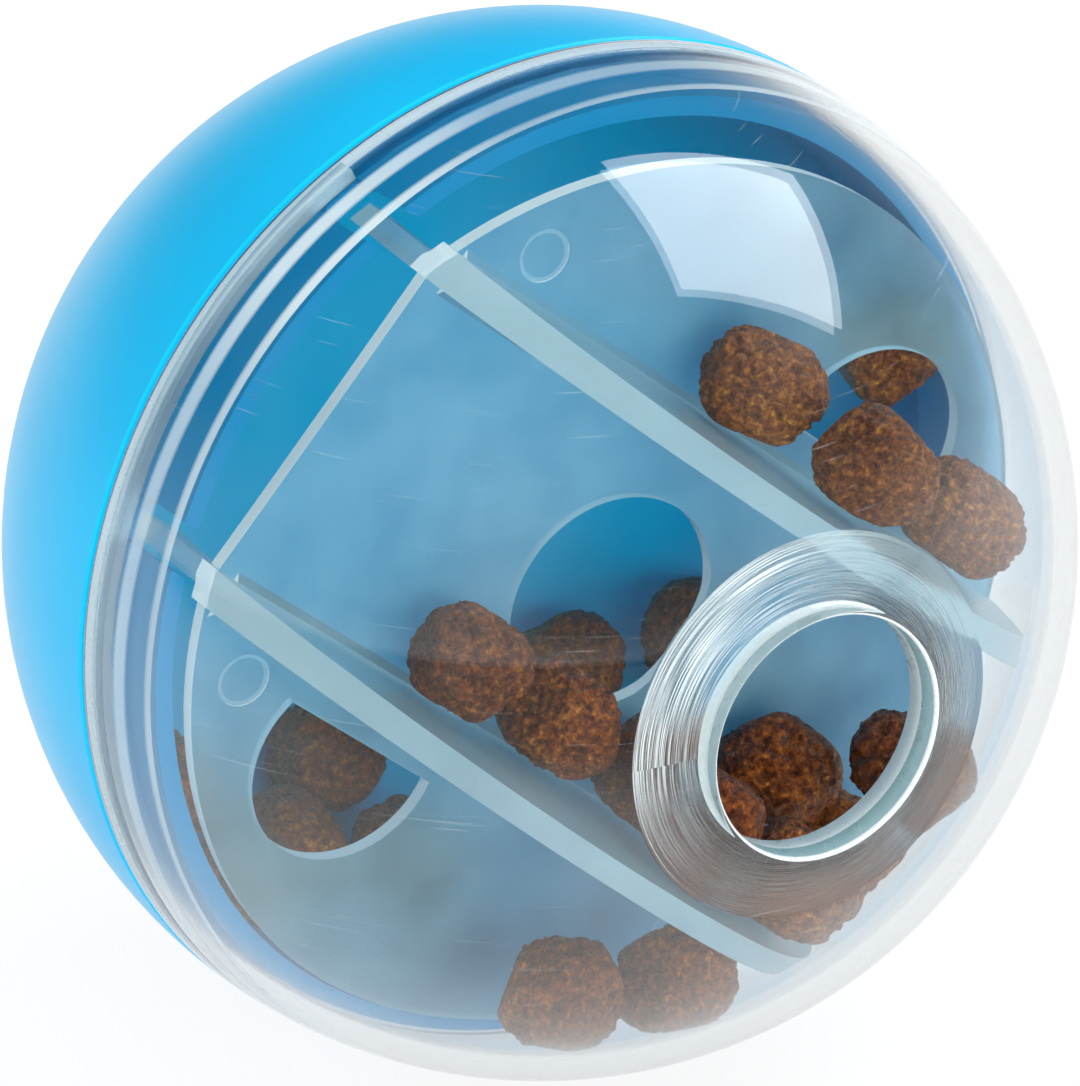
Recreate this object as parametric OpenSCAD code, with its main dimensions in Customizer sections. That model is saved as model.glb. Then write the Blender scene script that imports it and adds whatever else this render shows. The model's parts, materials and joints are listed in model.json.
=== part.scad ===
// Treat dispensing ball. Two half shells screw together around a loose maze.
// Dry treats inside have to find their way through the maze and out of the hole.
// Every piece is drawn with the ball's axis upright and the hole on top. Laid down
// at the end, the ball has its hole in front, at -Y, and its centre at the origin.

/* [Ball] */
// Outside diameter of the closed ball
ball_d = 70; // [70:0.5:90]
// Wall of the clear half
clear_wall = 1.6; // [1.2:0.1:2]
// Wall of the blue half
blue_wall = 1.8; // [1.2:0.1:2.4]
// Bevel on the outer edge of the clear half's rim
clear_bevel = 0.45; // [0.2:0.05:0.6]
// Bevel on the outer edge of the blue half's rim
blue_bevel = 0.15; // [0.05:0.05:0.4]

/* [Dispensing hole] */
// Diameter of the round hole
hole_d = 16.6; // [12:0.1:20]
// Rounding of the hole's outer lip
lip_round = 0.35; // [0.2:0.05:0.5]
// Depth of the flat seat inside the hole, from the ball's full round
seat_drop = 4.2; // [3.6:0.1:6]
// Rounding where the seat meets the inside of the shell
seat_round = 0.6; // [0.3:0.1:1]

/* [Threaded collar] */
// Height of the collar above the rims
collar_h = 6.2; // [5.5:0.1:8]
// Wall of the collar
collar_wall = 1.15; // [0.9:0.05:1.6]
// Depth of the shoulder under the collar
shoulder_h = 1.6; // [1:0.1:2.4]
// How far one turn of the thread moves the clear half
thread_lead = 2.4; // [2.2:0.1:3]
// How far the collar's ridge stands out
ridge_h = 0.6; // [0.4:0.05:0.8]
// Width of a ridge at its root
ridge_root_w = 1.05; // [0.8:0.05:1.2]
// Width of a ridge at its crest
ridge_crest_w = 0.65; // [0.4:0.05:0.8]
// Height of the collar's ridge where it starts
ridge_start_h = 1; // [0.9:0.05:1.4]

/* [Maze] */
// Turn of the maze about the ball's axis, in degrees
maze_turn = 50; // [0:1:90]
// How far the maze leans to each side, in degrees
maze_lean = 4; // [2:0.5:5]
// Height of the plate's lower face above the collar's mouth
plate_rise = 1.9; // [1.3:0.1:3.8]
// Thickness of the plate
plate_t = 1; // [0.8:0.1:1.6]
// Distance from the ball's axis to the middle of each wall
wall_x = 12.4; // [10.5:0.1:14]
// Thickness of a wall along its top edge
wall_t = 1.7; // [1.2:0.1:2.2]
// Draft of the walls, in degrees
wall_draft = 1; // [0.5:0.25:1.5]
// Bevel where a wall meets the plate
root_bevel = 0.5; // [0.3:0.1:1]
// Gap between the maze's round edge and the clear shell
maze_gap = 1.4; // [1:0.1:2]
// Diameter of the middle hole
mid_hole_d = 15; // [11:0.1:18]
// Diameter of the two wing holes
wing_hole_d = 13.6; // [10:0.1:15]
// Edge left between a wing hole and the plate's rim
wing_hole_edge = 3.2; // [2.4:0.1:5]
// Turn of the wing holes from the walls' square, in degrees
wing_hole_turn = 30.4; // [25:0.2:36]
// Ledge left between a wall and the flat side of a wing hole
wing_ledge = 2.4; // [1.4:0.1:3]
// Straight trim of the plate's ends between the walls
end_trim = 2.35; // [1:0.05:3]

/* [Feet and notches] */
// Length of a foot along its wall
foot_len = 2.6; // [2:0.1:3.5]
// Thickness of a foot
foot_t = 1.5; // [1.1:0.1:1.8]
// How far a foot reaches below the plate
foot_drop = 6.15; // [5:0.05:6.5]
// Radius of the corners at a notch's floor
notch_corner = 0.6; // [0.3:0.1:0.8]

/* [Treats] */
// Across a treat
treat_d = 8.6; // [6.5:0.1:8.6]
// Thickness of a treat
treat_t = 7.2; // [5.5:0.1:7.2]

/* [Hidden] */
$fn = 96;

// How far a cut runs past the face it opens, and a joined shape into its neighbour
overrun = 0.3;
// Running gap between the two rims
rim_gap = 0.05;
// Room over each ridge's crest, and between the collar's mouth and the shell
crest_gap = 0.15;
collar_gap = 0.3;
// Room between the plate's rim and the collar, over the walls, and beside and under a foot
plate_gap = 0.25;
wall_gap = 0.3;
foot_gap = 0.3;
seat_gap = 0.05;
// Room between a treat and what it lies on, and between two treats
treat_gap = 0.12;
pile_gap = 0.3;
// Marks that the mould's pins left in the plate
pin_d = 3.6;
pin_mark = 0.12;
pin_edge = 1.8;
pin_turn = 52.4;

// Both halves
ball_r = ball_d / 2;
clear_in = ball_r - clear_wall;
blue_in = ball_r - blue_wall;
hole_r = hole_d / 2;
seat_h = ball_r - seat_drop;

// Thread: the collar is as wide as its ridge and its mouth can be inside the clear shell
ridge_turns = 1;
ridge_steps = 48;
ridge_from = -10;
ridge_end_share = 0.2;
ridge_top = ridge_start_h + thread_lead * ridge_turns + ridge_root_w / 2;
collar_r = min(sqrt(pow(clear_in, 2) - pow(ridge_top, 2)) - crest_gap - ridge_h,
               sqrt(pow(clear_in, 2) - pow(collar_h, 2)) - collar_gap);
collar_in = collar_r - collar_wall;
// The clear half's ridge runs half a lead under the collar's, over the later part of its turn
inner_from_share = 0.35;
inner_crest_r = collar_r + crest_gap;

// Maze
plate_z = collar_h + plate_rise;
plate_top = plate_z + plate_t;
plate_r = (collar_in - plate_gap - plate_top * sin(maze_lean)) / cos(maze_lean);
maze_r = clear_in - maze_gap;
wall_top = sqrt(pow(maze_r, 2) - pow(wall_x, 2));
function wall_half(z) = wall_t / 2 + (wall_top - z) * tan(wall_draft);
wall_in = wall_x - wall_half(plate_z);
wall_out = wall_x + wall_half(plate_z);
wing_r = wing_hole_d / 2;
wing_at = plate_r - wing_hole_edge - wing_r;
pin_at = plate_r - pin_edge - pin_d / 2;

// Feet and the notches that hold them: the lower feet stand on the notches' floors
foot_z = plate_z - foot_drop;
foot_end = wall_top;
foot_in = wall_in;
foot_out = wall_in + foot_t;
notch_floor = foot_z * cos(maze_lean) - foot_out * sin(maze_lean) - seat_gap;
notch_in = foot_in * cos(maze_lean) - collar_h * sin(maze_lean) - foot_gap;
notch_out = foot_out * cos(maze_lean) + collar_h * sin(maze_lean) + foot_gap;

// Treats, each a rounded pellet
treat_r = treat_d / 2;
pitch = treat_d + pile_gap;
layer = treat_t + pile_gap;
grain_r = 0.7 * treat_r;
grain_count = 5;
// Flat against a wall of the maze, a number of layers off it. Side 1 lies above the upper
// wall and side 0 above the lower one. The places along the wall and up from the plate are
// in widths of a treat, up to where the shell stops it.
WALL_TREATS = [[1, 0, 0.45, 0], [1, 0, -0.1, 0.84], [1, 0, -1.8, 0.1],
               [0, 0, 1.2, 0], [0, 0, 0.2, 0], [0, 0, -0.6, 1.05], [0, 0, -0.83, 0],
               [0, 0, -1.62, 1.05], [0, 0.3, -2.8, 0], [0, 0.6, -1.8, 0],
               [0, 1.3, -2.1, 0.9]];
// Flat against the clear shell: direction round the ball's axis, and angle from the hole
CLEAR_TREATS = [[-112, 56], [-91, 55]];
// Flat against the blue shell, in the same two angles
BLUE_TREATS = [[-103, 130], [-117, 114], [-97, 113], [-150, 104], [-132, 101],
               [-57, 126], [-39, 114]];
// On edge against the inside of the collar: direction, and height over the rims
COLLAR_TREATS = [[17, 1.2]];

// Lays the ball down, with its hole in front
module lay() { rotate([90, 0, 0]) children(); }

// Turns and leans what is drawn upright in the maze's own axes: X square to the walls, Y along
module in_maze() { rotate([0, 0, maze_turn]) rotate([0, -maze_lean, 0]) children(); }

// Everything outside an arc of radius r round c, between two directions: it rounds a corner
module corner_cut(c, r, a1, a2) {
    far = 3 * r;
    mid = (a1 + a2) / 2;
    difference() {
        polygon([c, c + far * [cos(a1), sin(a1)], c + 2 * far * [cos(mid), sin(mid)],
                 c + far * [cos(a2), sin(a2)]]);
        translate(c) circle(r = r);
    }
}

// Triangle that bevels the outer corner of a rim whose face is at height h; up is 1 or -1
module rim_cut(h, bevel, up) {
    polygon([[ball_r - bevel - overrun, h - up * overrun], [ball_r + overrun, h - up * overrun],
             [ball_r + overrun, h + up * (bevel + overrun)]]);
}

// One start of a helical ridge, sunk by the overrun into the wall that it stands on
module ridge(root_r, crest_r, from_h, turn0, turns) {
    steps = ceil(ridge_steps * turns);
    out = crest_r > root_r ? 1 : -1;
    sunk_r = root_r - out * overrun;
    function grow(i) = max(ridge_end_share, min(1, i / 4, (steps - i) / 4));
    function at(r, a, z) = [r * cos(a), r * sin(a), z];
    points = [for (i = [0 : steps])
        let (a = turn0 + 360 * turns * i / steps,
             z = from_h + thread_lead * turns * i / steps,
             tip_r = root_r + (crest_r - root_r) * grow(i))
        each [at(sunk_r, a, z - ridge_root_w / 2), at(tip_r, a, z - ridge_crest_w / 2),
              at(tip_r, a, z + ridge_crest_w / 2), at(sunk_r, a, z + ridge_root_w / 2)]];
    sides = [for (i = [0 : steps - 1], k = [0 : 3])
        let (p = 4 * i + k, q = 4 * i + (k + 1) % 4)
        out > 0 ? [q, q + 4, p + 4, p] : [p, p + 4, q + 4, q]];
    last = 4 * steps;
    ends = out > 0 ? [[3, 2, 1, 0], [last, last + 1, last + 2, last + 3]]
                   : [[0, 1, 2, 3], [last + 3, last + 2, last + 1, last]];
    polyhedron(points = points, faces = concat(sides, ends), convexity = 6);
}

// Section of the blue half: its shell, the shoulder at the rim and the collar on it
module blue_section() {
    shell_mid = ball_r - blue_wall / 2;
    shoulder_w = shell_mid - collar_in;
    difference() {
        union() {
            difference() {
                intersection() {
                    circle(r = ball_r);
                    translate([0, -ball_r]) square([ball_r, ball_r]);
                }
                circle(r = blue_in);
            }
            intersection() {
                circle(r = shell_mid);
                polygon([[collar_in, 0], [shell_mid, 0],
                         [shell_mid, -shoulder_h - shoulder_w], [collar_in, -shoulder_h]]);
            }
            translate([collar_in, -overrun]) square([collar_wall, collar_h + overrun]);
        }
        rim_cut(0, blue_bevel, -1);
    }
}

// Notch for one foot, open at the collar's mouth, with round corners at its floor
module notch() {
    depth = collar_r + ridge_h + overrun;
    reach = depth - sqrt(pow(collar_in, 2) - pow(notch_out, 2)) + foot_len / 2;
    mouth = collar_h + overrun - notch_floor;
    for (x = [notch_in + notch_corner, notch_out - notch_corner])
        translate([x, depth - reach, notch_floor + notch_corner]) rotate([-90, 0, 0])
            cylinder(r = notch_corner, h = reach);
    translate([notch_in + notch_corner, depth - reach, notch_floor])
        cube([notch_out - notch_in - 2 * notch_corner, reach, mouth]);
    translate([notch_in, depth - reach, notch_floor + notch_corner])
        cube([notch_out - notch_in, reach, mouth - notch_corner]);
}

// Blue half shell, with the notched and threaded collar that the other half screws on
module blue_half() {
    color("#159FDE") lay() difference() {
        union() {
            rotate_extrude() blue_section();
            ridge(collar_r, collar_r + ridge_h, ridge_start_h, ridge_from, ridge_turns);
        }
        rotate([0, 0, maze_turn]) for (side = [0, 1], end = [0, 1])
            mirror([side, 0, 0]) mirror([0, end, 0]) notch();
    }
}

// Section of the clear half: its shell, the flat seat inside and the rounded hole
module clear_section() {
    lip_c = [hole_r + lip_round, sqrt(pow(ball_r - lip_round, 2) - pow(hole_r + lip_round, 2))];
    seat_c = [sqrt(pow(clear_in - seat_round, 2) - pow(seat_h - seat_round, 2)),
              seat_h - seat_round];
    difference() {
        intersection() {
            circle(r = ball_r);
            translate([hole_r, rim_gap]) square([ball_r, ball_r]);
        }
        difference() {
            intersection() {
                circle(r = clear_in);
                translate([0, -overrun]) square([ball_r, seat_h + overrun]);
            }
            corner_cut(seat_c, seat_round, 90, atan2(seat_c[1], seat_c[0]));
        }
        corner_cut(lip_c, lip_round, 180, atan2(lip_c[1], lip_c[0]));
        rim_cut(rim_gap, clear_bevel, 1);
    }
}

// Clear half shell, with the dispensing hole on top and its own ridge inside the rim
module clear_half() {
    color("#DCEAF2", 0.35) lay() {
        rotate_extrude() clear_section();
        ridge(clear_in, inner_crest_r,
              ridge_start_h + thread_lead * (inner_from_share - 1 / 2),
              ridge_from + 360 * inner_from_share, ridge_turns - inner_from_share);
    }
}

// Section of one wall of the maze, with its draft
module wall_section() {
    polygon([[wall_in, plate_z], [wall_out, plate_z],
             [wall_x + wall_half(maze_r), maze_r], [wall_x - wall_half(maze_r), maze_r]]);
}

// Section of the bevels along a wall's root, sunk into the plate
module root_section() {
    low = plate_top - plate_t / 2;
    half = wall_half(plate_top);
    polygon([[wall_x - half - root_bevel, low], [wall_x + half + root_bevel, low],
             [wall_x + half + root_bevel, plate_top], [wall_x + half, plate_top + root_bevel],
             [wall_x - half, plate_top + root_bevel], [wall_x - half - root_bevel, plate_top]]);
}

// One wall of the maze with the foot at each of its ends, kept under the seat at either lean
module maze_wall() {
    root_end = sqrt(pow(plate_r, 2) - pow(wall_out + root_bevel, 2)) - overrun;
    difference() {
        intersection() {
            sphere(r = maze_r);
            union() {
                rotate([90, 0, 0])
                    linear_extrude(height = 2 * maze_r, center = true) wall_section();
                for (end = [0, 1]) mirror([0, end, 0])
                    translate([foot_in, foot_end - foot_len, foot_z])
                        cube([foot_t, foot_len + maze_gap, foot_drop]);
            }
        }
        rotate([0, maze_lean, 0]) translate([-ball_r, -ball_r, seat_h - wall_gap])
            cube([2 * ball_r, 2 * ball_r, ball_r]);
    }
    rotate([90, 0, 0]) linear_extrude(height = 2 * root_end, center = true) root_section();
}

// Hole in one wing of the plate, with its flat side along the wall
module wing_hole() {
    flat_x = wall_out + wing_ledge;
    intersection() {
        rotate([0, 0, -wing_hole_turn]) translate([wing_at, 0, plate_z - overrun])
            cylinder(r = wing_r, h = plate_t + 2 * overrun);
        translate([flat_x, -maze_r, plate_z - 2 * overrun])
            cube([maze_r, 2 * maze_r, plate_t + 4 * overrun]);
    }
}

// Loose maze: a plate with three holes, and two walls that stand on it
module maze() {
    color("#CFE3EE", 0.6) lay() in_maze() difference() {
        union() {
            translate([0, 0, plate_z]) cylinder(r = plate_r, h = plate_t);
            for (side = [0, 1]) mirror([side, 0, 0]) maze_wall();
        }
        translate([0, 0, plate_z - overrun])
            cylinder(d = mid_hole_d, h = plate_t + 2 * overrun);
        for (half = [0, 180]) rotate([0, 0, half]) {
            wing_hole();
            translate([-wall_in, plate_r - end_trim, plate_z - overrun])
                cube([2 * wall_in, plate_r, plate_t + 2 * overrun]);
            for (a = [pin_turn, -pin_turn]) rotate([0, 0, a])
                translate([pin_at, 0, plate_top - pin_mark])
                    cylinder(d = pin_d, h = pin_mark + overrun);
        }
    }
}

// One treat: a rounded pellet with its thickness along Z, turned by its number
module pellet(n) {
    across = treat_r - grain_r;
    thick = treat_t / 2 - grain_r;
    color("#7A4A22") rotate([0, 0, 137 * n]) hull()
        for (k = [0 : grain_count - 1]) rotate([0, 0, 360 * k / grain_count])
            translate([across, 0, thick * (k % 2 == 0 ? 1 : -1)]) sphere(r = grain_r, $fn = 14);
}

// Treat that lies on a wall of the maze
module wall_treat(i) {
    t = WALL_TREATS[i];
    first = [-wall_in, wall_out][t[0]];
    x = first + treat_t / 2 + treat_gap + t[1] * layer;
    z = plate_top + treat_r + treat_gap + t[3] * pitch;
    reach = clear_in - treat_gap - treat_r;
    shell_y = sqrt(max(0, pow(reach, 2) - pow(x, 2) - pow(z, 2)));
    lay() in_maze() translate([x, sign(t[2]) * min(abs(t[2]) * pitch, shell_y), z])
        rotate([0, 90, 0]) pellet(i);
}

// Treat that lies on a shell of inner radius r, in a direction and at an angle from the hole
module shell_treat(r, t, i) {
    lay() rotate([0, t[1], t[0]]) translate([0, 0, r - treat_t / 2 - treat_gap]) pellet(i);
}

// Treat that leans on the inside of the collar
module collar_treat(i) {
    t = COLLAR_TREATS[i];
    lay() rotate([0, 0, t[0]]) translate([collar_in - treat_t / 2 - treat_gap, 0, t[1]])
        rotate([0, 90, 0]) pellet(i);
}

blue_half();
clear_half();
maze();
wall_treat(0);  // treat_01
wall_treat(1);  // treat_02
wall_treat(2);  // treat_03
wall_treat(3);  // treat_04
wall_treat(4);  // treat_05
wall_treat(5);  // treat_06
wall_treat(6);  // treat_07
wall_treat(7);  // treat_08
wall_treat(8);  // treat_09
wall_treat(9);  // treat_10
wall_treat(10);  // treat_11
shell_treat(clear_in, CLEAR_TREATS[0], 11);  // treat_12
shell_treat(clear_in, CLEAR_TREATS[1], 12);  // treat_13
shell_treat(blue_in, BLUE_TREATS[0], 13);  // treat_14
shell_treat(blue_in, BLUE_TREATS[1], 14);  // treat_15
shell_treat(blue_in, BLUE_TREATS[2], 15);  // treat_16
shell_treat(blue_in, BLUE_TREATS[3], 16);  // treat_17
shell_treat(blue_in, BLUE_TREATS[4], 17);  // treat_18
shell_treat(blue_in, BLUE_TREATS[5], 18);  // treat_19
shell_treat(blue_in, BLUE_TREATS[6], 19);  // treat_20
collar_treat(0);  // treat_21
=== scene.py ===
# Looks of the treat dispensing ball: a blue half shell, a clear half shell screwed on to it,
# a loose frosted maze between them and the dry treats that rattle through it.
import json
import math
import random

import bmesh
import bpy
import numpy as np
from mathutils import Matrix, Vector, noise


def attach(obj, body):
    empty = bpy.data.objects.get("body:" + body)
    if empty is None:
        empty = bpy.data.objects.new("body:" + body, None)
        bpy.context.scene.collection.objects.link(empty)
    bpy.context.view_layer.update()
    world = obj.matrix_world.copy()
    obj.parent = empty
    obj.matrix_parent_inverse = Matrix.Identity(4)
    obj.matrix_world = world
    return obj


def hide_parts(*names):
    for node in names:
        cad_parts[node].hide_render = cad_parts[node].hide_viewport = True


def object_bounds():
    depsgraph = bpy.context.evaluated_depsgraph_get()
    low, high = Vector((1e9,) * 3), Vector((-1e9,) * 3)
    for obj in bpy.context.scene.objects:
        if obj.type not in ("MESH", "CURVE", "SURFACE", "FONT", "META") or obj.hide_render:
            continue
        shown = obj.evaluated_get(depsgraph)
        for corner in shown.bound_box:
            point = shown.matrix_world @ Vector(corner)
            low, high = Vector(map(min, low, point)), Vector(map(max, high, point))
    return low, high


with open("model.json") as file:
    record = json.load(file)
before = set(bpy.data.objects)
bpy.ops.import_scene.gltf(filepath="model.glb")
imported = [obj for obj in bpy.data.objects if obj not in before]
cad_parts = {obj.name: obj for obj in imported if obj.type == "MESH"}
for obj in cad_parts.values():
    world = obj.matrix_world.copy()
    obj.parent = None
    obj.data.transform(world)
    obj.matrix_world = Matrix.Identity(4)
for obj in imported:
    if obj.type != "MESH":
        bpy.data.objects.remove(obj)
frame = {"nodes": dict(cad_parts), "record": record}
cad_low, cad_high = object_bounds()

MM = 0.001

# Sizes repeated from the part, in millimetres and degrees
BALL_R = 35.0
CLEAR_WALL = 1.6
CLEAR_BEVEL = 0.45
RIM_GAP = 0.05
HOLE_R = 8.3
LIP_ROUND = 0.35
SEAT_DROP = 4.2
SEAT_ROUND = 0.6
THREAD_LEAD = 2.4
RIDGE_ROOT = 1.05
RIDGE_CREST = 0.65
RIDGE_START_H = 1.0
RIDGE_FROM = -10
INNER_SHARE = 0.35
INNER_CREST_R = 32.57
COLLAR_H = 6.2
PLATE_RISE = 1.9
PLATE_T = 1.0
PIN_MARK = 0.12
MAZE_GAP = 1.4
MAZE_TURN = 50
MAZE_LEAN = 4
TREAT_R = 4.3
TREATS = 21

# Worked out from them: radii, and heights over the seam
CLEAR_IN = BALL_R - CLEAR_WALL
BEVEL_TOP = RIM_GAP + CLEAR_BEVEL
LIP_R = HOLE_R + LIP_ROUND
LIP_H = math.sqrt((BALL_R - LIP_ROUND) ** 2 - LIP_R ** 2)
SEAT_H = BALL_R - SEAT_DROP
SEAT_R = math.sqrt((CLEAR_IN - SEAT_ROUND) ** 2 - (SEAT_H - SEAT_ROUND) ** 2)
PLATE_TOP = COLLAR_H + PLATE_RISE + PLATE_T
MAZE_R = CLEAR_IN - MAZE_GAP

# Which way the maze's plate faces
PLATE_UP = (Matrix.Rotation(-math.radians(MAZE_TURN), 3, "Y")
            @ Matrix.Rotation(-math.radians(MAZE_LEAN), 3, "Z") @ Vector((0, -1, 0)))

# Corners nearer than this are one
SAME = 0.001 * MM


# Nodes and colours

def srgb(code):
    """Linear colour, with alpha 1, of an sRGB hex code."""
    parts = [int(code[i:i + 2], 16) / 255 for i in (1, 3, 5)]
    return [c / 12.92 if c <= 0.04045 else ((c + 0.055) / 1.055) ** 2.4 for c in parts] + [1]


def add(tree, kind, into=None, stops=None, **settings):
    """Adds a node. A setting is a property, or input_NAME or input_NUMBER for a socket: its value,
    or what feeds it. Stops are a colour ramp's places, each with a hex code or a grey value."""
    node = tree.nodes.new(kind)
    for key, value in settings.items():
        if not key.startswith("input_"):
            setattr(node, key, value)
            continue
        name = key[6:]
        socket = node.inputs[int(name) if name.isdigit() else name.replace("_", " ")]
        if isinstance(value, bpy.types.Node):
            value = value.outputs[0]
        if isinstance(value, bpy.types.NodeSocket):
            tree.links.new(value, socket)
        else:
            socket.default_value = value
    if stops:
        elements = node.color_ramp.elements
        while len(elements) < len(stops):
            elements.new(0.5)
        for element, (place, colour) in zip(elements, stops):
            element.position = place
            element.color = srgb(colour) if isinstance(colour, str) else [colour] * 3 + [1]
    if into is not None:
        tree.links.new(node.outputs[0], into)
    return node


def new_material(name):
    """A new material with an empty tree and its output node."""
    mat = bpy.data.materials.new(name)
    mat.use_nodes = True
    mat.node_tree.nodes.clear()
    out = mat.node_tree.nodes.new("ShaderNodeOutputMaterial")
    return mat, mat.node_tree, out


def scale_for(size):
    """Scale of a pattern whose marks are this many millimetres apart."""
    return 1 / (size * MM)


# Materials

# The patterns' sizes in millimetres. Real tool marks and hair scratches are finer than these,
# which are as coarse as they need to be to show in the render.
SCRATCH_LONG = 9.1
SCRATCH_APART = 0.192
SMEAR = 14.3
TOOL_MARK = 0.111
SEAT_PAINTED_HIGHLIGHT_OVER = 10.5
THREAD_HIGHLIGHT_BAND = 1.25 * THREAD_LEAD
THREAD_HIGHLIGHT_PATCH = 22.2
DULL_CLOUD = 1.67
MOTTLE = 3.85
MOULD_GRAIN = 0.4
BLUE_SWIRL = 16.7
BLUE_WIPE = 1.11
CRUMB = 0.526
FAT_GRAIN = 0.385
TOAST = 14.3

# The turn, in radians, and the shift of each set of scratches
SCRATCH_SETS = ((0.4, 0.0), (1.5, 3.0), (2.5, 7.0))

# The blue's own outside colour gives way to the inside's painted shade between these depths under the
# ball's full round
INSIDE_PAINTED_SHADE_DEPTHS = (0.9, 0.4)

# Where the bands of painted thread highlight start, in radians of their wave, and how much milkier a
# mottle is
THREAD_HIGHLIGHT_START = 0.6
MOTTLED = 0.04

CLEAR_IOR = 1.53
POLYPROPYLENE_IOR = 1.49
ABS_IOR = 1.53
DOUGH_IOR = 1.45

# The side of the seat whose rings get a painted highlight, towards the wider chamber
SEAT_PAINTED_HIGHLIGHT_SIDE = (-0.755, 0.0, 0.656)


def lets_lamps_in(tree, out, glass, tint):
    """Clear plastic that lamps shine through: rays from lamps and off dull things pass straight."""
    path = add(tree, "ShaderNodeLightPath")
    either = add(tree, "ShaderNodeMath", operation="MAXIMUM",
                 input_0=path.outputs["Is Shadow Ray"], input_1=path.outputs["Is Diffuse Ray"])
    straight = add(tree, "ShaderNodeBsdfTransparent", input_Color=srgb(tint))
    add(tree, "ShaderNodeMixShader", into=out.inputs["Surface"], input_0=either, input_1=glass,
        input_2=straight)


def clear_plastic():
    """Moulded polystyrene, handled: clear, with hair scratches and smears. Edge-on it turns milky and
    grey, partly from the hazy wall seen at length and partly as a painted sheen for the limb's
    reflection.
    """
    mat, tree, out = new_material("clear_moulded_polystyrene")
    coords = add(tree, "ShaderNodeTexCoord").outputs["Object"]
    stretched = (scale_for(SCRATCH_LONG), scale_for(SCRATCH_LONG), scale_for(SCRATCH_APART))
    scratched = None
    for turn, shift in SCRATCH_SETS:
        along = add(tree, "ShaderNodeMapping", input_Vector=coords, input_Scale=stretched,
                    input_Location=(shift, shift, 0), input_Rotation=(turn, turn * 2, turn))
        hairs = add(tree, "ShaderNodeTexNoise", input_Vector=along, input_Scale=1.0,
                    input_Detail=1.0, input_Distortion=0.3)
        thin = add(tree, "ShaderNodeValToRGB", input_Fac=hairs, stops=[(0.76, 0.0), (0.8, 1.0)])
        scratched = thin if scratched is None else add(
            tree, "ShaderNodeMath", operation="MAXIMUM", input_0=scratched, input_1=thin)
    # Edge-on: a milky veil, partly the hazy wall seen at length and partly painted sheen; the grey
    # tone there is painted
    edge_on = add(tree, "ShaderNodeLayerWeight").outputs["Facing"]
    limb_haze_and_painted_sheen = add(tree, "ShaderNodeValToRGB", input_Fac=edge_on,
               stops=[(0.7, 0.0), (0.92, 0.06), (1.0, 0.3)])
    smears = add(tree, "ShaderNodeTexNoise", input_Vector=coords, input_Scale=scale_for(SMEAR),
                 input_Detail=3.0)
    wiped = add(tree, "ShaderNodeValToRGB", input_Fac=smears, stops=[(0.45, 0.0), (0.75, 0.018)])
    haze = add(tree, "ShaderNodeMath", operation="ADD", input_0=limb_haze_and_painted_sheen, input_1=wiped)
    milk = add(tree, "ShaderNodeMath", operation="MULTIPLY_ADD", input_0=scratched, input_1=0.1,
               input_2=haze)
    clear = add(tree, "ShaderNodeMath", operation="SUBTRACT", input_0=1.0, input_1=milk)
    painted_limb_grey = add(tree, "ShaderNodeValToRGB", input_Fac=edge_on,
               stops=[(0.45, "#F4F9FA"), (0.74, "#D9DFE3")])
    glass = add(tree, "ShaderNodeBsdfPrincipled", input_Base_Color=painted_limb_grey, input_Roughness=0.02,
                input_IOR=CLEAR_IOR, input_Transmission_Weight=clear)
    lets_lamps_in(tree, out, glass, "#E8F0F2")
    return mat


def turned_plastic():
    """The seat is turned flat in the mould's steel, so its face is silky, with fine rings. Towards
    one side the rings are painted milky white, as the highlight where they catch the light.
    """
    mat, tree, out = new_material("clear_polystyrene_with_turned_face")
    coords = add(tree, "ShaderNodeTexCoord").outputs["Object"]
    split = add(tree, "ShaderNodeSeparateXYZ", input_Vector=coords)
    across = add(tree, "ShaderNodeCombineXYZ", input_X=split.outputs["X"],
                 input_Z=split.outputs["Z"])
    radius = add(tree, "ShaderNodeVectorMath", operation="LENGTH", input_0=across)
    turn = add(tree, "ShaderNodeMath", operation="ARCTAN2", input_0=split.outputs["Z"],
               input_1=split.outputs["X"])
    ring = add(tree, "ShaderNodeMath", operation="MULTIPLY", input_0=radius.outputs["Value"],
               input_1=scale_for(TOOL_MARK))
    place = add(tree, "ShaderNodeCombineXYZ", input_X=ring, input_Y=turn)
    rings = add(tree, "ShaderNodeTexNoise", input_Vector=place, input_Scale=1.4, input_Detail=3.0)
    bumps = add(tree, "ShaderNodeBump", input_Strength=0.8, input_Distance=0.06 * MM,
                input_Height=rings)
    silk = add(tree, "ShaderNodeValToRGB", input_Fac=rings, stops=[(0.3, 0.06), (0.7, 0.22)])
    # Painted highlight: towards one side the rings turn milky white, standing in for the light they
    # catch
    aside = add(tree, "ShaderNodeVectorMath", operation="DOT_PRODUCT", input_0=coords,
                input_1=SEAT_PAINTED_HIGHLIGHT_SIDE)
    share = add(tree, "ShaderNodeMath", operation="MULTIPLY", input_0=aside.outputs["Value"],
                input_1=scale_for(SEAT_PAINTED_HIGHLIGHT_OVER))
    painted_highlight_side = add(tree, "ShaderNodeValToRGB", input_Fac=share,
               stops=[(0.1, 0.06), (0.5, 0.28), (0.95, 1.0)])
    streaks = add(tree, "ShaderNodeValToRGB", input_Fac=rings, stops=[(0.42, 0.0), (0.62, 1.0)])
    painted_highlight_streaks = add(tree, "ShaderNodeMath", operation="MULTIPLY", input_0=painted_highlight_side, input_1=streaks)
    clear = add(tree, "ShaderNodeMapRange", input_Value=painted_highlight_streaks, input_To_Min=0.97,
                input_To_Max=0.12)
    body = add(tree, "ShaderNodeBsdfPrincipled", input_Base_Color=srgb("#F4F7F7"),
               input_Roughness=silk, input_IOR=CLEAR_IOR, input_Transmission_Weight=clear,
               input_Normal=bumps)
    lets_lamps_in(tree, out, body, "#E4EEF2")
    return mat


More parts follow.
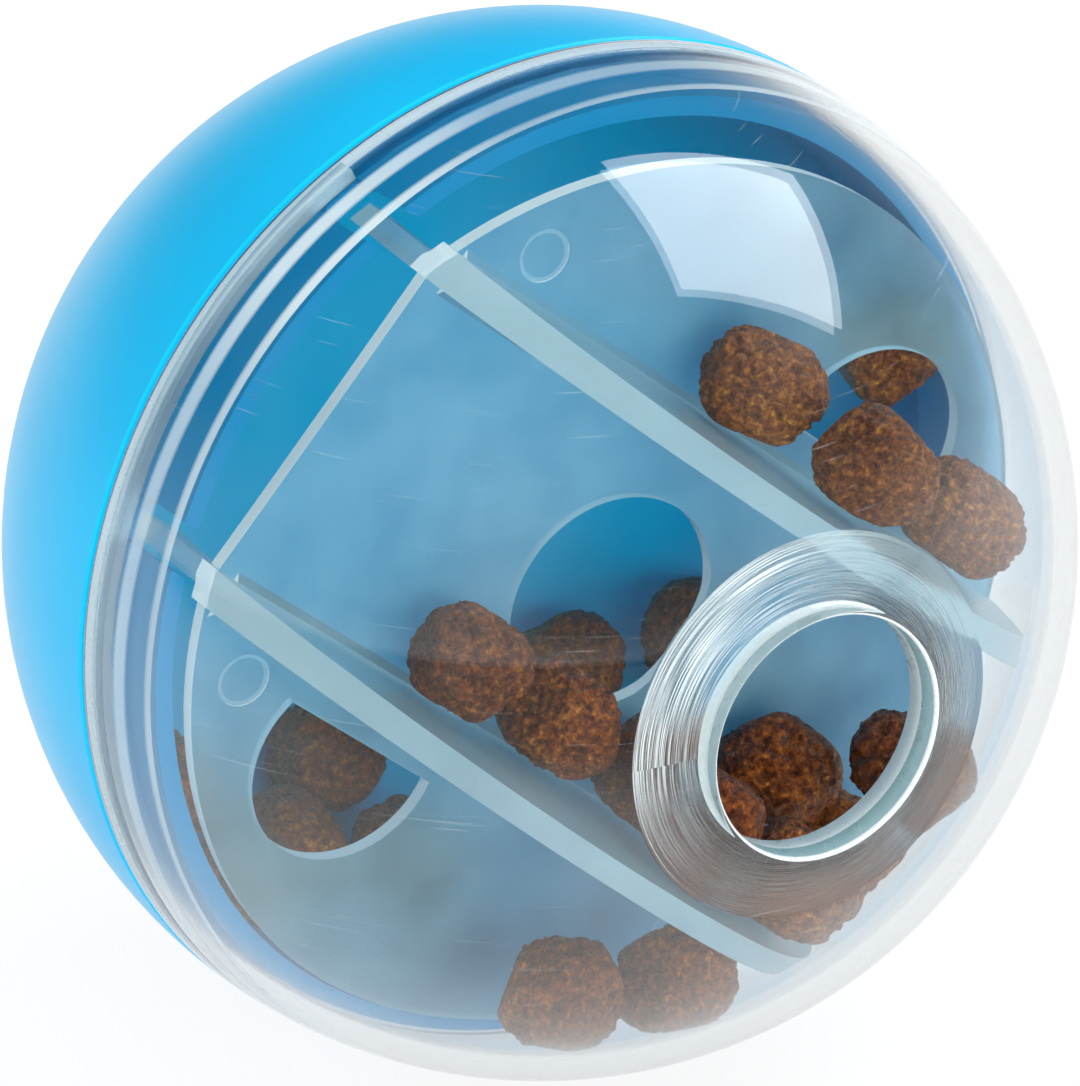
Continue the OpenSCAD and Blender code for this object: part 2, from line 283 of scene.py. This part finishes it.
def thread_plastic():
    """Inside the rim, by the threads: clear, with soft milky bands that follow the rim, painted as
    the highlights that the thread's ridges catch.
    """
    mat, tree, out = new_material("clear_polystyrene_with_painted_thread_highlights")
    coords = add(tree, "ShaderNodeTexCoord").outputs["Object"]
    split = add(tree, "ShaderNodeSeparateXYZ", input_Vector=coords)
    drift = add(tree, "ShaderNodeTexNoise", input_Vector=coords, input_Scale=scale_for(THREAD_HIGHLIGHT_PATCH),
                input_Detail=1.0)
    high = add(tree, "ShaderNodeMath", operation="MULTIPLY_ADD", input_0=split.outputs["Y"],
               input_1=-2 * math.pi * scale_for(THREAD_HIGHLIGHT_BAND), input_2=THREAD_HIGHLIGHT_START)
    shifted = add(tree, "ShaderNodeMath", operation="ADD", input_0=drift, input_1=high)
    wave = add(tree, "ShaderNodeMath", operation="SINE", input_0=shifted)
    # Painted highlights: milky bands standing in for the light caught on the thread's ridges
    painted_thread_highlights = add(tree, "ShaderNodeValToRGB", input_Fac=wave, stops=[(0.1, 0.0), (0.7, 1.0)])
    fade = add(tree, "ShaderNodeValToRGB", input_Fac=drift, stops=[(0.35, 0.45), (0.65, 1.0)])
    milk = add(tree, "ShaderNodeMath", operation="MULTIPLY", input_0=painted_thread_highlights, input_1=fade)
    clear = add(tree, "ShaderNodeMapRange", input_Value=milk, input_To_Min=1.0, input_To_Max=0.2)
    body = add(tree, "ShaderNodeBsdfPrincipled", input_Base_Color=srgb("#F4FAFB"),
               input_Roughness=0.12, input_IOR=CLEAR_IOR, input_Transmission_Weight=clear)
    lets_lamps_in(tree, out, body, "#E8F0F2")
    return mat


def edge_plastic(name, colour, clearness):
    """The bore, its lip and the rim, where the mould's sliding steel has dulled the plastic. The
    nearly white finish at the lip and rim is a painted highlight.
    """
    mat, tree, out = new_material(name)
    coords = add(tree, "ShaderNodeTexCoord").outputs["Object"]
    cloud = add(tree, "ShaderNodeTexNoise", input_Vector=coords,
                input_Scale=scale_for(DULL_CLOUD), input_Detail=4.0)
    dull = add(tree, "ShaderNodeValToRGB", input_Fac=cloud, stops=[(0.35, 0.2), (0.7, 0.45)])
    body = add(tree, "ShaderNodeBsdfPrincipled", input_Base_Color=srgb(colour),
               input_Roughness=dull, input_IOR=CLEAR_IOR, input_Transmission_Weight=clearness)
    lets_lamps_in(tree, out, body, "#E4EEF2")
    return mat


def frosted_plastic(name, colour, clearness, roughness):
    """Natural polypropylene off a mould with a fine matt grain: milky, with soft mottles."""
    mat, tree, out = new_material(name)
    coords = add(tree, "ShaderNodeTexCoord").outputs["Object"]
    mottle = add(tree, "ShaderNodeTexNoise", input_Vector=coords, input_Scale=scale_for(MOTTLE),
                 input_Detail=5.0, input_Roughness=0.6)
    milk = add(tree, "ShaderNodeMapRange", input_Value=mottle, input_From_Min=0.3,
               input_From_Max=0.7, input_To_Min=clearness - MOTTLED,
               input_To_Max=clearness + MOTTLED)
    grain = add(tree, "ShaderNodeTexNoise", input_Vector=coords,
                input_Scale=scale_for(MOULD_GRAIN), input_Detail=2.0)
    bumps = add(tree, "ShaderNodeBump", input_Strength=0.5, input_Distance=0.03 * MM,
                input_Height=grain)
    body = add(tree, "ShaderNodeBsdfPrincipled", input_Base_Color=srgb(colour),
               input_Roughness=roughness, input_IOR=POLYPROPYLENE_IOR,
               input_Transmission_Weight=milk, input_Normal=bumps)
    lets_lamps_in(tree, out, body, "#F4F9FB")
    return mat


def blue_plastic():
    """Blue ABS with an even gloss: its own blue outside, and inside a painted shade, deep blue at the
    rim and lighter at the back.
    """
    mat, tree, out = new_material("blue_moulded_abs")
    coords = add(tree, "ShaderNodeTexCoord").outputs["Object"]
    radius = add(tree, "ShaderNodeVectorMath", operation="LENGTH", input_0=coords)
    inner, outer = [(BALL_R - depth) * MM for depth in INSIDE_PAINTED_SHADE_DEPTHS]
    outside = add(tree, "ShaderNodeMapRange", input_Value=radius.outputs["Value"],
                  input_From_Min=inner, input_From_Max=outer)
    swirl = add(tree, "ShaderNodeTexNoise", input_Vector=coords,
                input_Scale=scale_for(BLUE_SWIRL), input_Detail=3.0)
    skin = add(tree, "ShaderNodeValToRGB", input_Fac=swirl,
               stops=[(0.3, "#00B0E6"), (0.7, "#02B8EC")])
    # Painted shade inside the half: deep blue by the rim, lighter towards the back
    split = add(tree, "ShaderNodeSeparateXYZ", input_Vector=coords)
    depth = add(tree, "ShaderNodeMath", operation="DIVIDE", input_0=split.outputs["Y"],
                input_1=BALL_R * MM)
    painted_inside_shade = add(tree, "ShaderNodeValToRGB", input_Fac=depth,
               stops=[(0.1, "#0086B8"), (0.6, "#10B2DA")])
    blue = add(tree, "ShaderNodeMix", data_type="RGBA", input_0=outside, input_6=painted_inside_shade,
               input_7=skin)
    wipes = add(tree, "ShaderNodeTexNoise", input_Vector=coords, input_Scale=scale_for(BLUE_WIPE),
                input_Detail=4.0)
    polish = add(tree, "ShaderNodeValToRGB", input_Fac=wipes, stops=[(0.35, 0.29), (0.7, 0.31)])
    add(tree, "ShaderNodeBsdfPrincipled", into=out.inputs["Surface"],
        input_Base_Color=blue.outputs[2], input_Roughness=polish, input_IOR=ABS_IOR,
        input_Specular_IOR_Level=0.3)
    return mat


def baked_treat():
    """Extruded and baked cereal dough: rough brown crumb, with grains of fat that glint."""
    mat, tree, out = new_material("baked_cereal_treat")
    coords = add(tree, "ShaderNodeTexCoord").outputs["Object"]
    crumb = add(tree, "ShaderNodeTexNoise", input_Vector=coords, input_Scale=scale_for(CRUMB),
                input_Detail=5.0, input_Roughness=0.72)
    toast = add(tree, "ShaderNodeTexNoise", input_Vector=coords, input_Scale=scale_for(TOAST),
                input_Detail=3.0)
    both = add(tree, "ShaderNodeMath", operation="MULTIPLY_ADD", input_0=toast, input_1=0.35,
               input_2=crumb)
    brown = add(tree, "ShaderNodeValToRGB", input_Fac=both,
                stops=[(0.48, "#2A0E04"), (0.62, "#5B290C"), (0.74, "#8A4812"),
                       (0.86, "#BE7B28"), (0.95, "#F0BD5E")])
    grains = add(tree, "ShaderNodeTexVoronoi", input_Vector=coords,
                 input_Scale=scale_for(FAT_GRAIN))
    oily = add(tree, "ShaderNodeValToRGB", input_Fac=grains, stops=[(0.2, 0.16), (0.55, 0.6)])
    height = add(tree, "ShaderNodeMath", operation="MULTIPLY_ADD", input_0=grains,
                 input_1=-0.5, input_2=crumb)
    bumps = add(tree, "ShaderNodeBump", input_Strength=0.9, input_Distance=0.3 * MM,
                input_Height=height)
    add(tree, "ShaderNodeBsdfPrincipled", into=out.inputs["Surface"], input_Base_Color=brown,
        input_Roughness=oily, input_IOR=DOUGH_IOR, input_Normal=bumps,
        input_Coat_Weight=0.2, input_Coat_Roughness=0.3, input_Coat_Tint=srgb("#FFD9A0"))
    return mat


CLEAR = clear_plastic()
TURNED = turned_plastic()
THREAD = thread_plastic()
# Nearly white at the lip and rim: a painted highlight along these edges
SHELL_EDGE_PAINTED_HIGHLIGHT = edge_plastic("clear_polystyrene_dulled_edge_with_painted_highlight", "#EEF4F3", clearness=0.3)
BORE = edge_plastic("clear_polystyrene_in_the_bore", "#A9D2D8", clearness=0.6)

# The maze is clearest in its thin plate, milkier in its walls, rings and tops, and its edges are
# painted white as a highlight
PLATE = frosted_plastic("natural_polypropylene_thin_plate", "#B2E6F6", clearness=0.88,
                        roughness=0.32)
WALL = frosted_plastic("natural_polypropylene_thick_wall", "#CBEBF6", clearness=0.84,
                       roughness=0.3)
MAZE_EDGE_PAINTED_HIGHLIGHT = frosted_plastic("natural_polypropylene_sharp_edge_painted_highlight", "#F4FAFC", clearness=0.25,
                             roughness=0.3)
WALL_TOP = frosted_plastic("natural_polypropylene_wall_top", "#DCF1F8", clearness=0.64,
                           roughness=0.34)
PIN_RING = frosted_plastic("natural_polypropylene_pin_ring", "#D2EFF9", clearness=0.76,
                           roughness=0.34)

BLUE = blue_plastic()
TREAT = baked_treat()

CAD_FINISHES = {"blue_half": BLUE, "clear_half": CLEAR, "maze": PLATE}
SHELL_FINISHES = [CLEAR, TURNED, SHELL_EDGE_PAINTED_HIGHLIGHT, THREAD, BORE]
MAZE_FINISHES = [PLATE, WALL, MAZE_EDGE_PAINTED_HIGHLIGHT, WALL_TOP, PIN_RING]

for node, obj in frame["nodes"].items():
    obj.data.materials.clear()
    obj.data.materials.append(CAD_FINISHES.get(node, TREAT))


# Pieces

def piece(name, bm, body, replaced, finishes):
    """Makes the finished mesh an object that rides on a body and stands for a CAD node."""
    data = bpy.data.meshes.new(name)
    bm.to_mesh(data)
    bm.free()
    for face in data.polygons:
        face.use_smooth = True
    for finish in finishes:
        data.materials.append(finish)
    obj = bpy.data.objects.new(name, data)
    bpy.context.scene.collection.objects.link(obj)
    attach(obj, body)
    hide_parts(replaced)
    return obj


# Clear half

# How far up the bore the seat's edge is dulled and painted white as a highlight, and how far inside
# its crest the lip is
EDGE_BAND = 1.35
LIP_DULL = 0.12

# How far the band of painted thread highlights inside the rim reaches over the collar, and the ridge
# into the wall
THREAD_HIGHLIGHT_OVER = 0.4
SUNK = 0.03

# The middle of a facet lies at most this far off a flat stretch, and off a round one
HAIR = 0.01
NEAR = 0.1

# Facets round the ball, along its outside, lip, seat's round and inside, and along the ridge
ROUND_STEPS = 224
OUTSIDE_STEPS = 72
LIP_STEPS = 8
SEAT_STEPS = 6
INSIDE_STEPS = 56
RIDGE_STEPS = 160


def corner_at(bm, r, h):
    """A corner of a section, at radius r and height h over the seam."""
    return bm.verts.new((r * MM, -h * MM, 0))


def line_to(bm, last, r, h):
    """Runs the section on in a straight line to a corner at (r, h)."""
    corner = corner_at(bm, r, h)
    bm.edges.new((last, corner))
    return corner


def arc_to(bm, last, r, h, turn, steps):
    """Turns the last corner about the point (r, h) of the section, in degrees towards the rim."""
    made = bmesh.ops.spin(bm, geom=[last], cent=(r * MM, -h * MM, 0), axis=(0, 0, 1),
                          angle=math.radians(turn), steps=steps)
    return next(v for v in made["geom_last"] if isinstance(v, bmesh.types.BMVert))


def turned(bm):
    """Turns a closed section into a solid of revolution about the ball's axis."""
    bmesh.ops.remove_doubles(bm, verts=bm.verts, dist=SAME)
    bmesh.ops.spin(bm, geom=bm.verts[:] + bm.edges[:], cent=(0, 0, 0), axis=(0, 1, 0),
                   angle=2 * math.pi, steps=ROUND_STEPS, use_merge=True)
    bmesh.ops.remove_doubles(bm, verts=bm.verts, dist=SAME)
    bmesh.ops.recalc_face_normals(bm, faces=bm.faces)


def shell_finish(face):
    """The finish of a face of the clear shell, by where its middle lies."""
    middle = face.calc_center_median() / MM
    across = math.hypot(middle.x, middle.z)
    high = -middle.y
    over_seat = high > SEAT_H + HAIR
    by_an_edge = across < LIP_R - LIP_DULL and (high > LIP_H or high < SEAT_H + EDGE_BAND)
    # The lip, the bore's end by the seat and the rim bevel get the painted white edge highlight
    if over_seat and by_an_edge or RIM_GAP + HAIR < high < BEVEL_TOP:
        return SHELL_EDGE_PAINTED_HIGHLIGHT
    if over_seat and across < HOLE_R + HAIR:
        return BORE
    if not over_seat and across < SEAT_R + NEAR:
        return TURNED
    if high < COLLAR_H + THREAD_HIGHLIGHT_OVER and middle.length < CLEAR_IN + NEAR:
        return THREAD
    return CLEAR


def clear_shell():
    """The shell, turned from its section: rim, outside, lip, bore, seat and inside, in turn."""
    bm = bmesh.new()
    lip_way = math.degrees(math.atan2(LIP_H, LIP_R))
    bevel_way = math.degrees(math.asin(BEVEL_TOP / BALL_R))
    seat_way = math.degrees(math.atan2(SEAT_H - SEAT_ROUND, SEAT_R))
    rim_way = math.degrees(math.asin(RIM_GAP / CLEAR_IN))
    first = corner_at(bm, BALL_R - CLEAR_BEVEL, RIM_GAP)
    corner = line_to(bm, first, math.sqrt(BALL_R ** 2 - BEVEL_TOP ** 2), BEVEL_TOP)
    corner = arc_to(bm, corner, 0, 0, bevel_way - lip_way, OUTSIDE_STEPS)
    corner = arc_to(bm, corner, LIP_R, LIP_H, lip_way - 180, LIP_STEPS)
    corner = line_to(bm, corner, HOLE_R, SEAT_H + EDGE_BAND)
    corner = line_to(bm, corner, HOLE_R, SEAT_H)
    corner = line_to(bm, corner, SEAT_R, SEAT_H)
    corner = arc_to(bm, corner, SEAT_R, SEAT_H - SEAT_ROUND, 90 - seat_way, SEAT_STEPS)
    corner = arc_to(bm, corner, 0, 0, seat_way - rim_way, INSIDE_STEPS)
    bm.edges.new((corner, first))
    turned(bm)
    for face in bm.faces:
        face.material_index = SHELL_FINISHES.index(shell_finish(face))
    return bm


def thread_ridge():
    """One start of the thread: a blunt tooth swept along its helix, sunk a hair into the wall."""
    bm = bmesh.new()
    turns = 1 - INNER_SHARE
    height = RIDGE_START_H + THREAD_LEAD * (INNER_SHARE - 0.5)
    root_r = CLEAR_IN + SUNK
    corners = [corner_at(bm, root_r, height - RIDGE_ROOT / 2),
               corner_at(bm, INNER_CREST_R, height - RIDGE_CREST / 2),
               corner_at(bm, INNER_CREST_R, height + RIDGE_CREST / 2),
               corner_at(bm, root_r, height + RIDGE_ROOT / 2)]
    tooth = bm.faces.new(corners)
    tooth.material_index = SHELL_FINISHES.index(THREAD)
    from_turn = math.radians(RIDGE_FROM + 360 * INNER_SHARE)
    bmesh.ops.rotate(bm, verts=corners, cent=(0, 0, 0), matrix=Matrix.Rotation(-from_turn, 3, "Y"))
    bmesh.ops.spin(bm, geom=[tooth], cent=(0, 0, 0), axis=(0, -1, 0), angle=2 * math.pi * turns,
                   dvec=(0, -THREAD_LEAD * turns / RIDGE_STEPS * MM, 0), steps=RIDGE_STEPS)
    bmesh.ops.recalc_face_normals(bm, faces=bm.faces)
    ridge = bpy.data.meshes.new("ridge")
    bm.to_mesh(ridge)
    bm.free()
    return ridge


def sort_faces(bm):
    """Puts faces in the order of their corners, because a spin gives them in any order."""
    bm.verts.index_update()

    def place(face):
        corners = [vert.index for vert in face.verts]
        return min(corners) * len(bm.verts) + max(corners)

    bm.faces.sort(key=place)


def clear_half():
    """The clear half: its turned shell and the thread's ridge inside the rim."""
    bm = clear_shell()
    ridge = thread_ridge()
    bm.from_mesh(ridge)
    bpy.data.meshes.remove(ridge)
    sort_faces(bm)
    return bm


piece("clear_half_shell", clear_half(), "clear_side", "clear_half", SHELL_FINISHES)


# Maze

# How far the mould rounds an edge, and the width of the ring that a pin leaves
EDGE_ROUND = 0.12
RING_WIDTH = 0.3

# Faces higher than this over the plate belong to its walls
WALLS_OVER = 0.3

# Edges sharper than this, in degrees, are rounded, and flatter joints of triangles dissolve
SHARP = 35
FLAT = 0.2


def merged_copy(node):
    """A CAD node's mesh in one piece, its flat faces whole again."""
    bm = bmesh.new()
    bm.from_mesh(frame["nodes"][node].data)
    bmesh.ops.remove_doubles(bm, verts=bm.verts, dist=2 * SAME)
    bmesh.ops.dissolve_limit(bm, angle_limit=math.radians(FLAT), verts=bm.verts, edges=bm.edges)
    return bm


def maze_finish(face):
    """The finish of a face of the maze: its walls and feet, their tops, its plate and its edges."""
    facing = face.normal.dot(PLATE_UP)
    middle = face.calc_center_median() / MM
    high = middle.dot(PLATE_UP)
    if high > PLATE_TOP + WALLS_OVER:
        return WALL_TOP if facing > 0.9 or middle.length > MAZE_R - NEAR else WALL
    if high < PLATE_TOP - PLATE_T:
        return WALL
    # The plate's side faces get the painted white edge highlight
    return MAZE_EDGE_PAINTED_HIGHLIGHT if abs(facing) < 0.7 else PLATE


def is_pin_mark(face):
    """Whether a face is the floor of a shallow mark that an ejector pin left in the plate."""
    high = face.calc_center_median().dot(PLATE_UP) / MM
    return face.normal.dot(PLATE_UP) > 0.99 and abs(high - PLATE_TOP + PIN_MARK) < PIN_MARK / 3


def rounded_maze():
    """The maze with its edges rounded a little, as the mould leaves them."""
    bm = merged_copy("maze")
    sharp = [e for e in bm.edges if e.is_manifold and e.calc_face_angle() > math.radians(SHARP)]
    bm.normal_update()
    for face in bm.faces:
        face.material_index = MAZE_FINISHES.index(maze_finish(face))
    marks = [face for face in bm.faces if is_pin_mark(face)]
    bmesh.ops.inset_individual(bm, faces=marks, thickness=RING_WIDTH * MM)
    for mark in marks:
        ring = {face for edge in mark.edges for face in edge.link_faces} - {mark}
        for face in ring:
            face.material_index = MAZE_FINISHES.index(PIN_RING)
    rounded = bmesh.ops.bevel(bm, geom=sharp, offset=EDGE_ROUND * MM, offset_type="OFFSET",
                              segments=2, profile=0.5, affect="EDGES", clamp_overlap=True,
                              material=-1)
    # The rounded edges are painted white, a painted highlight along them
    for face in rounded["faces"]:
        face.material_index = MAZE_FINISHES.index(MAZE_EDGE_PAINTED_HIGHLIGHT)
    return bm


maze = piece("frosted_maze", rounded_maze(), "maze_and_treats", "maze",
             MAZE_FINISHES)
even = maze.modifiers.new("even_shading", "WEIGHTED_NORMAL")
even.weight = 100


# Treats

# How often a treat's round is divided, and more often where the photograph shows it well
FACETS = 5
FINE_FACETS = 6
SEEN_CLOSE = (1, 2, 3, 4, 5, 6)

# A chunk is cut from a ball a little over the pellet's size, as the cuts and crumbs take it back
OVER_WIDE = 1.05
OVER_THICK = 1.1
NARROWEST = 0.93

# Six cuts on the sides and two on the ends, at these shares of the radius. They aren't quite even
# or upright, in shares of a step and radians. Their corners are blunter the lower CORNERS is.
SIDE_CUTS = 6
SIDE_FAR = (0.78, 0.95)
END_FAR = (0.82, 0.91)
UNEVEN = 0.35
SIDE_TILT = 0.5
END_TILT = 0.3
CORNERS = 22

# The crumbly skin: marks to a radius, and how high or deep they are, as a share of the radius
LUMPS = (1.7, 0.1)
FOLDS = (3.3, -0.16)
CRUMBS = (8.0, 0.045)
PITS = (13.0, 0.1)
PITS_UNDER = -0.15

# How fast the crumbs' octaves weaken, how much finer each is, and how many there are
CRUMB_OCTAVES = (0.6, 2.2, 5)

# How far apart two treats lie in the noise
SEED_STEPS = (7.3, 1.9, 3.1)


def pellet_frame(node):
    """Centre, thickness direction and half thickness of a treat's CAD node."""
    mesh = frame["nodes"][node].data
    points = np.array([v.co for v in mesh.vertices])
    middle = (points.min(0) + points.max(0)) / 2
    ways = np.array([p.normal for p in mesh.polygons])
    along = (points - middle) @ ways.T
    thin = np.argmin(np.ptp(along, 0))
    middle += ways[thin] * (along[:, thin].max() + along[:, thin].min()) / 2
    return Vector(middle), Vector(ways[thin]), np.ptp(along[:, thin]) / 2


def crumbly(point, seed):
    """How far the dough's surface lies under a point of the unit ball, as a share of its radius."""
    at = point + Vector([seed * step for step in SEED_STEPS])
    lumps = noise.noise(at * LUMPS[0]) * LUMPS[1]
    folds = abs(noise.noise(at * FOLDS[0])) * FOLDS[1]
    crumbs = noise.fractal(at * CRUMBS[0], *CRUMB_OCTAVES) * CRUMBS[1]
    pits = min(0, noise.noise(at * PITS[0]) - PITS_UNDER) * PITS[1]
    return min(lumps + folds + crumbs + pits, 0.0)


def chunk_cuts(rng):
    """Directions and distances of the cuts that make a chunk of the unit ball."""
    cuts = []
    for k in range(SIDE_CUTS):
        turn = 2 * math.pi * (k + rng.uniform(-UNEVEN, UNEVEN)) / SIDE_CUTS
        tilt = rng.uniform(-SIDE_TILT, SIDE_TILT)
        way = Vector((math.cos(turn) * math.cos(tilt), math.sin(turn) * math.cos(tilt),
                      math.sin(tilt)))
        cuts.append((way, rng.uniform(*SIDE_FAR)))
    for end in (1, -1):
        way = Vector((0, rng.uniform(-END_TILT, END_TILT), end)).normalized()
        cuts.append((way, rng.uniform(*END_FAR)))
    return cuts


def treat(number):
    """One baked treat: a chunk cut from a rope of dough, with blunt corners and a crumbly skin."""
    node = f"treat_{number:02d}"
    rng = random.Random(number)
    centre, thin, half_thick = pellet_frame(node)
    spin = thin.to_track_quat("Z", "Y").to_matrix() @ Matrix.Rotation(rng.uniform(0, 6.28), 3, "Z")
    half_wide = OVER_WIDE * TREAT_R * MM
    reach = Vector((half_wide, half_wide * rng.uniform(NARROWEST, 1), OVER_THICK * half_thick))
    cuts = chunk_cuts(rng)
    bm = bmesh.new()
    facets = FINE_FACETS if number in SEEN_CLOSE else FACETS
    bmesh.ops.create_icosphere(bm, subdivisions=facets, radius=1)
    for vert in bm.verts:
        way = vert.co.normalized()
        beyond = sum((max(way.dot(normal), 0) / far) ** CORNERS for normal, far in cuts)
        out = way * (1 + beyond) ** (-1 / CORNERS) * (1 + crumbly(way, number))
        vert.co = centre + spin @ Vector(v * w for v, w in zip(out, reach))
    bmesh.ops.recalc_face_normals(bm, faces=bm.faces)
    bodies = frame["record"]["behaviour"]["bodies"]
    body = next(b for b, members in bodies.items() if node in members)
    piece(f"baked_{node}", bm, body, node, [TREAT])


for number in range(1, TREATS + 1):
    treat(number)


# Camera

# Where it stands from the ball's middle, and its lens, so that the frame is the photograph's
CAMERA_FROM = Vector((-0.4865, -0.7589, 0.4330)).normalized()
CAMERA_FAR = 1062.5 * MM
LENS = 541.6
SENSOR = 36

camera_data = bpy.data.cameras.new("camera")
camera_data.lens = LENS
camera_data.sensor_width = SENSOR
camera_data.clip_start = 50 * MM
camera = bpy.data.objects.new("camera", camera_data)
bpy.context.scene.collection.objects.link(camera)
camera.location = CAMERA_FROM * CAMERA_FAR
camera.rotation_euler = CAMERA_FROM.to_track_quat("Z", "Y").to_euler()
bpy.context.scene.camera = camera
VIEW = camera.rotation_euler.to_matrix()


# Studio

# How white the floor and the room are as light, and the floor in front of the ball in gloss
WHITE = 0.88
DARK = 0.05

# Where, towards the camera, the floor goes from white to dark in gloss, and its radius, in metres
DARK_FROM = 0.03
DARK_TO = 0.12
FLOOR_R = 3.0


def softbox(name, toward, far, side, strength):
    """A square lamp that faces the ball, in metres, from a direction in the camera's axes."""
    data = bpy.data.lights.new(name, "AREA")
    data.shape = "SQUARE"
    data.size = side
    data.energy = strength * side * side * math.pi
    lamp = bpy.data.objects.new(name, data)
    bpy.context.scene.collection.objects.link(lamp)
    way = (VIEW @ Vector(toward)).normalized()
    lamp.location = way * far
    lamp.rotation_euler = way.to_track_quat("Z", "Y").to_euler()
    return lamp


def white_for_sight(tree, out, dull, white):
    """Shows the white shader to the camera, gloss and clear plastic, and the dull one to the rest."""
    path = add(tree, "ShaderNodeLightPath")
    glossy = add(tree, "ShaderNodeMath", operation="MAXIMUM",
                 input_0=path.outputs["Is Camera Ray"], input_1=path.outputs["Is Glossy Ray"])
    sight = add(tree, "ShaderNodeMath", operation="MAXIMUM", input_0=glossy,
                input_1=path.outputs["Is Transmission Ray"])
    add(tree, "ShaderNodeMixShader", into=out.inputs["Surface"], input_0=sight, input_1=dull,
        input_2=white)


def white_room():
    """A white room. Gloss and clear plastic see it pale at the horizon and dark overhead."""
    world = bpy.data.worlds.new("studio")
    bpy.context.scene.world = world
    world.use_nodes = True
    # Only bounced rays find the room, so that gloss gets what the Light Path node gives it
    world.cycles.sampling_method = "NONE"
    sky = world.node_tree
    sky.nodes.clear()
    out = add(sky, "ShaderNodeOutputWorld")
    path = add(sky, "ShaderNodeLightPath")
    way = add(sky, "ShaderNodeTexCoord").outputs["Generated"]
    high = add(sky, "ShaderNodeSeparateXYZ", input_Vector=way).outputs["Z"]
    room = add(sky, "ShaderNodeValToRGB", input_Fac=high,
               stops=[(0.0, 0.75), (0.12, 0.35), (0.4, 0.03)])
    mirrored = add(sky, "ShaderNodeMath", operation="MAXIMUM",
                   input_0=path.outputs["Is Glossy Ray"],
                   input_1=path.outputs["Is Transmission Ray"])
    seen = add(sky, "ShaderNodeMix", data_type="RGBA", input_0=mirrored, input_6=(1, 1, 1, 1),
               input_7=room)
    white = add(sky, "ShaderNodeBackground", input_Color=seen.outputs[2], input_Strength=1.0)
    light = add(sky, "ShaderNodeBackground", input_Strength=WHITE)
    white_for_sight(sky, out, light, white)


def white_sweep():
    """The floor: white, with the ball's shadow, and in gloss dark in front of the ball."""
    mat, tree, out = new_material("white_sweep")
    path = add(tree, "ShaderNodeLightPath")
    coords = add(tree, "ShaderNodeTexCoord").outputs["Object"]
    nearer = add(tree, "ShaderNodeVectorMath", operation="DOT_PRODUCT", input_0=coords,
                 input_1=(CAMERA_FROM.x, CAMERA_FROM.y, 0))
    sheet = add(tree, "ShaderNodeMapRange", input_Value=nearer.outputs["Value"],
                input_From_Min=DARK_FROM, input_From_Max=DARK_TO, input_To_Min=WHITE,
                input_To_Max=DARK)
    glow = add(tree, "ShaderNodeMix", input_0=path.outputs["Is Camera Ray"], input_2=sheet,
               input_3=WHITE)
    shone = add(tree, "ShaderNodeEmission", input_Strength=glow)
    shaded = add(tree, "ShaderNodeBsdfDiffuse", input_Color=srgb("#666666"))
    white = add(tree, "ShaderNodeAddShader", input_0=shone, input_1=shaded)
    dull = add(tree, "ShaderNodeBsdfDiffuse", input_Color=srgb("#F2F2F2"))
    white_for_sight(tree, out, dull, white)
    bm = bmesh.new()
    bmesh.ops.create_circle(bm, cap_ends=True, radius=FLOOR_R, segments=96,
                            matrix=Matrix.Translation((0, 0, cad_low.z)))
    data = bpy.data.meshes.new("floor")
    bm.to_mesh(data)
    bm.free()
    data.materials.append(mat)
    floor = bpy.data.objects.new("floor", data)
    bpy.context.scene.collection.objects.link(floor)


softbox("key", toward=(0.526, 0.847, 0.066), far=1.0, side=0.6, strength=4.6)
for name, toward, strength in (("left_fill", (-0.9, 0.1, 0.42), 1.4),
                               ("hole_fill", (0.52, -0.33, 0.79), 7.6)):
    fill = softbox(name, toward, far=1.2, side=1.0, strength=strength)
    fill.visible_glossy = False
    fill.visible_transmission = False
white_room()
white_sweep()
bpy.context.scene.view_settings.view_transform = "Standard"
